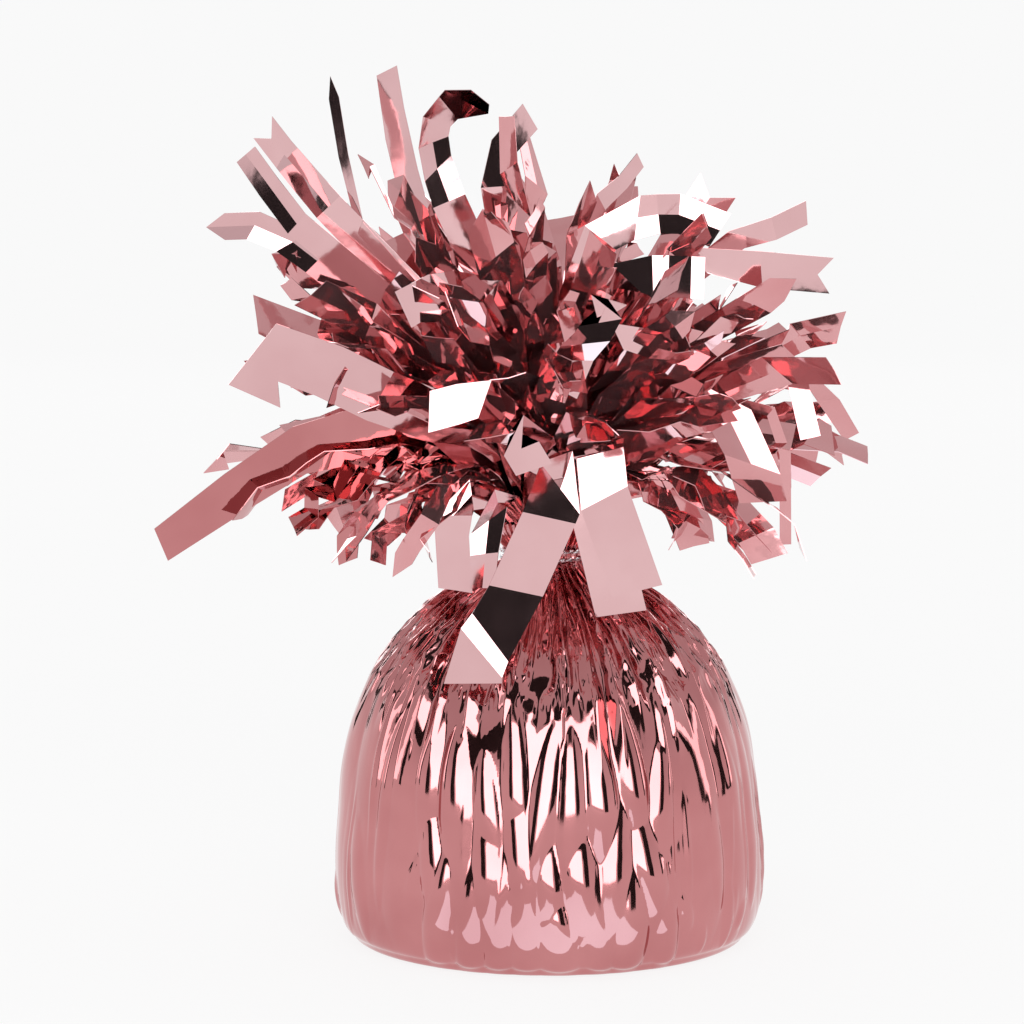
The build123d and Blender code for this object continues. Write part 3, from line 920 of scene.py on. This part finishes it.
def filler_sectors():
    """The ribbons of the filler strips, by sector number."""
    chance = random.Random(29)
    sectors = {}
    for roots, leans, bows, lengths, gap, wanted in FILLS:
        made = 0
        for _ in range(wanted * FILLER_TRIES):
            if made == wanted:
                break
            root = chance.uniform(*roots)
            filler = (chance.uniform(0, 360), chance.uniform(*leans), chance.uniform(*bows),
                      chance.uniform(*lengths), chance.uniform(3.5, 7.5), chance.uniform(-80, 80))
            azimuth, _, _, _, width, _ = filler
            rise = chance.uniform(14, 20)
            path = strip_path(root, NECK_TOP, rise, filler, sway=chance.uniform(-25, 25))
            if fits(path) and crowd.room(path, width, gap):
                shape = loose_ribbon(path, width, SLIT_ROOT, chance, spacing=chance.uniform(4, 9),
                                     crease=chance.uniform(0.5, 1.3), tip=chance.choice(TIPS),
                                     taper=chance.uniform(0, 0.5))
                sectors.setdefault(int(azimuth // SECTOR) + 1, []).append(shape)
                crowd.add(path, width)
                made += 1
    return sectors


for sector, made in sorted(filler_sectors().items()):
    piece = bundle(f"film_fill_{sector:02d}", made, strip_foil)
    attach(piece, "weight")

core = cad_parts["ballast_core"]
core.data.materials.clear()
core.data.materials.append(plaster_material())

# Wire tie, as in the solids: the neck's waist with its pleats, and the wire wound round it.
WAIST_RADIUS = 6.6
WAIST_BOTTOM = 59.0
WAIST_MARGIN = 0.5
NECK_PLEAT = 0.9
WIRE = 0.7
WIRE_CLEARANCE = 0.02
WIRE_TURNS = 2
WIRE_PITCH = 1.2
WIRE_TAIL = 4.0
TURN_STEPS = 96
TAIL_STEPS = 14
TAIL_START = 0.2
# The wire's two strands: the run of one twist, their overlap and their sides.
TWIST_RUN = 2.4
OVERLAP = 1.02
STRAND_SIDES = 8


def wire_route():
    """Points along the wire: its turns round the neck, with a tail at each end, at the back."""
    radius = WAIST_RADIUS + NECK_PLEAT / 2 + WIRE_CLEARANCE + WIRE / 2
    start = WAIST_BOTTOM + WAIST_MARGIN + WIRE / 2
    count = TURN_STEPS * WIRE_TURNS
    wound = []
    for step in range(count + 1):
        angle = math.pi / 2 + 2 * math.pi * WIRE_TURNS * step / count
        wound.append((radius * math.cos(angle), radius * math.sin(angle),
                      start + WIRE_PITCH * WIRE_TURNS * step / count))
    wound = np.array(wound)
    first = unit(wound[0] - wound[1])
    final = unit(wound[-1] - wound[-2])
    lead = np.linspace(WIRE_TAIL, TAIL_START, TAIL_STEPS)[:, None]
    return np.concatenate([wound[0] + first * lead, wound, wound[-1] + final * lead[::-1]])


def twisted_wire(route):
    """Points and faces of two strands twisted together along a route."""
    aheads = unit(np.gradient(route, axis=0))
    asides = unit(np.cross(aheads, UP))
    rises = np.cross(asides, aheads)
    points, faces = [], []
    for strand in range(2):
        base = len(points)
        for run, centre, aside, up in zip(run_lengths(route), route, asides, rises):
            spin = 2 * math.pi * run / TWIST_RUN + math.pi * strand
            middle = centre + (aside * math.cos(spin) + up * math.sin(spin)) * WIRE / 4
            for k in range(STRAND_SIDES):
                a = 2 * math.pi * k / STRAND_SIDES
                points.append(middle + (aside * math.cos(a) + up * math.sin(a)) * WIRE / 4 * OVERLAP)
        for j in range(len(route) - 1):
            near = base + j * STRAND_SIDES
            far = near + STRAND_SIDES
            for k in range(STRAND_SIDES):
                n = (k + 1) % STRAND_SIDES
                faces.append((near + k, near + n, far + n, far + k))
        end = base + (len(route) - 1) * STRAND_SIDES
        faces.append(tuple(base + k for k in reversed(range(STRAND_SIDES))))
        faces.append(tuple(end + k for k in range(STRAND_SIDES)))
    return np.array(points), faces


tie = mesh_piece("wire_tie", *twisted_wire(wire_route()), silver_wire, sharp=40)
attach(tie, "weight")
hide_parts("neck_tie")


# Studio: pale floor, black cards, soft light and camera. Sizes and places are in metres.

# The share of the floor's white that doesn't depend on the light.
FLOOR_GLOW = 0.86
FLOOR_SIZE = 160
FLOOR_HEIGHT = -0.0002
CARD_TARGET = (0, 0, 0.07)
# Places and sizes of the black cards: one above the camera, and pairs in front, aside and behind.
TOP_CARD = ((0.0, -0.8, 0.96), (0.8, 0.42))
CARD_PAIRS = [
    ((0.7, -0.74, 0.36), (0.38, 0.75)),
    ((1.0, 0.06, 0.3), (0.13, 0.6)),
    ((0.56, 0.85, 0.36), (0.13, 0.7)),
]
# Greys of the sky by the sine of their elevation.
SKY = [(0.02, (0.96, 0.96, 0.96, 1)), (0.35, (0.72, 0.72, 0.73, 1)), (1.0, (0.68, 0.68, 0.68, 1))]
# The camera: lens, sensor and aim are in millimetres, its tilt in degrees.
LENS = 150
SENSOR = 36
CAMERA_TILT = 7.0
CAMERA_AIM = (-5.8, 0, 67.2)
CAMERA_DISTANCE = 0.668


def card(name, centre, size, facing, material, shown=False):
    """A flat studio card facing a point."""
    mesh = bpy.data.meshes.new(name)
    x, y = size[0] / 2, size[1] / 2
    mesh.from_pydata([(-x, -y, 0), (x, -y, 0), (x, y, 0), (-x, y, 0)], [], [(0, 1, 2, 3)])
    mesh.materials.append(material)
    piece = bpy.data.objects.new(name, mesh)
    piece.location = centre
    piece.rotation_euler = (Vector(facing) - Vector(centre)).to_track_quat("Z", "Y").to_euler()
    piece.visible_camera = shown
    bpy.context.scene.collection.objects.link(piece)


def plain_material(name, low, high, rough):
    material, tree, shader = new_material(name)
    speckle(tree, shader, (low, low, low), (high, high, high), Scale=30.0, Detail=4.0)
    shader.inputs["Roughness"].default_value = rough
    return material, tree, shader


def floor_material():
    """White paper that keeps a soft shadow and shows white to the eye and in the film."""
    material, tree, shader = plain_material("floor_paper", 0.84, 0.88, 0.9)
    output = next(n for n in tree.nodes if n.type == "OUTPUT_MATERIAL")
    rays = node(tree, "ShaderNodeLightPath")
    seen = node(tree, "ShaderNodeMath", operation="MAXIMUM")
    link(tree, rays, "Is Camera Ray", seen, 0)
    link(tree, rays, "Is Glossy Ray", seen, 1)
    also = node(tree, "ShaderNodeMath", operation="MAXIMUM")
    link(tree, seen, 0, also, 0)
    link(tree, rays, "Is Transmission Ray", also, 1)
    share = node(tree, "ShaderNodeMath", operation="MULTIPLY")
    link(tree, also, 0, share, 0)
    share.inputs[1].default_value = FLOOR_GLOW
    glow = node(tree, "ShaderNodeEmission", Strength=1.0)
    mix = node(tree, "ShaderNodeMixShader")
    link(tree, share, 0, mix, "Fac")
    link(tree, shader, "BSDF", mix, 1)
    link(tree, glow, "Emission", mix, 2)
    link(tree, mix, "Shader", output, "Surface")
    return material


card("floor", (0, 0, FLOOR_HEIGHT), (FLOOR_SIZE, FLOOR_SIZE), (0, 0, 1), floor_material(), shown=True)
black, _, _ = plain_material("black_cloth", 0.008, 0.014, 0.9)
cards = [TOP_CARD] + [((side * x, y, z), size) for (x, y, z), size in CARD_PAIRS for side in (-1, 1)]
for number, (centre, size) in enumerate(cards, 1):
    card(f"flag_{number}", centre, size, CARD_TARGET, black)


def make_world():
    """An even pale sky, brightest at the horizon."""
    world = bpy.data.worlds.new("studio")
    bpy.context.scene.world = world
    world.use_nodes = True
    tree = world.node_tree
    tree.nodes.clear()
    output = node(tree, "ShaderNodeOutputWorld")
    sky = node(tree, "ShaderNodeBackground", Strength=1.0)
    place = node(tree, "ShaderNodeTexCoord")
    split = node(tree, "ShaderNodeSeparateXYZ")
    link(tree, place, "Generated", split, "Vector")
    ramp = node(tree, "ShaderNodeValToRGB")
    low, middle, high = SKY
    elements = ramp.color_ramp.elements
    elements[0].position, elements[0].color = low
    elements[1].position, elements[1].color = high
    elements.new(middle[0]).color = middle[1]
    link(tree, split, "Z", ramp, "Fac")
    link(tree, ramp, "Color", sky, "Color")
    link(tree, sky, "Background", output, "Surface")


def softbox(name, place, size, radiance, target=(0, 0, 0.06)):
    """A rectangular lamp with a given radiance."""
    lamp = bpy.data.lights.new(name, "AREA")
    lamp.shape = "RECTANGLE"
    lamp.size, lamp.size_y = size
    lamp.energy = radiance * math.pi * size[0] * size[1]
    piece = bpy.data.objects.new(name, lamp)
    piece.location = place
    piece.rotation_euler = (Vector(target) - Vector(place)).to_track_quat("-Z", "Y").to_euler()
    piece.visible_camera = False
    bpy.context.scene.collection.objects.link(piece)
    return piece


def make_camera():
    data = bpy.data.cameras.new("camera")
    data.lens = LENS
    data.sensor_width = SENSOR
    data.clip_end = 500
    camera = bpy.data.objects.new("camera", data)
    bpy.context.scene.collection.objects.link(camera)
    tilt = math.radians(CAMERA_TILT)
    aim = Vector(CAMERA_AIM) * MM
    camera.location = aim + Vector((0, -math.cos(tilt), math.sin(tilt))) * CAMERA_DISTANCE
    camera.rotation_euler = (aim - camera.location).to_track_quat("-Z", "Y").to_euler()
    bpy.context.scene.camera = camera


make_world()
softbox("front_box", (0.0, -1.0, 0.37), (1.1, 0.7), 3.2)
# A small cool lamp on the floor gives the low puffs their lilac tone.
low_fill = softbox("low_fill", (0.0, -0.089, 0.002), (0.056, 0.102), 1.2, target=(0.0, -0.088, 1.0))
low_fill.data.color = (0.42, 0.9, 1.0)
sheen = [
    softbox("back_box", (0.0, 1.0, 0.37), (0.9, 0.6), 1.8),
    softbox("left_strip", (-1.0, 0.24, 0.32), (0.14, 0.6), 1.7),
    softbox("right_strip", (1.0, 0.24, 0.32), (0.14, 0.6), 1.7),
]
# These three only show in the film and leave the floor's even tone.
for lamp in sheen:
    lamp.visible_diffuse = False
make_camera()
bpy.context.scene.view_settings.view_transform = "Standard"
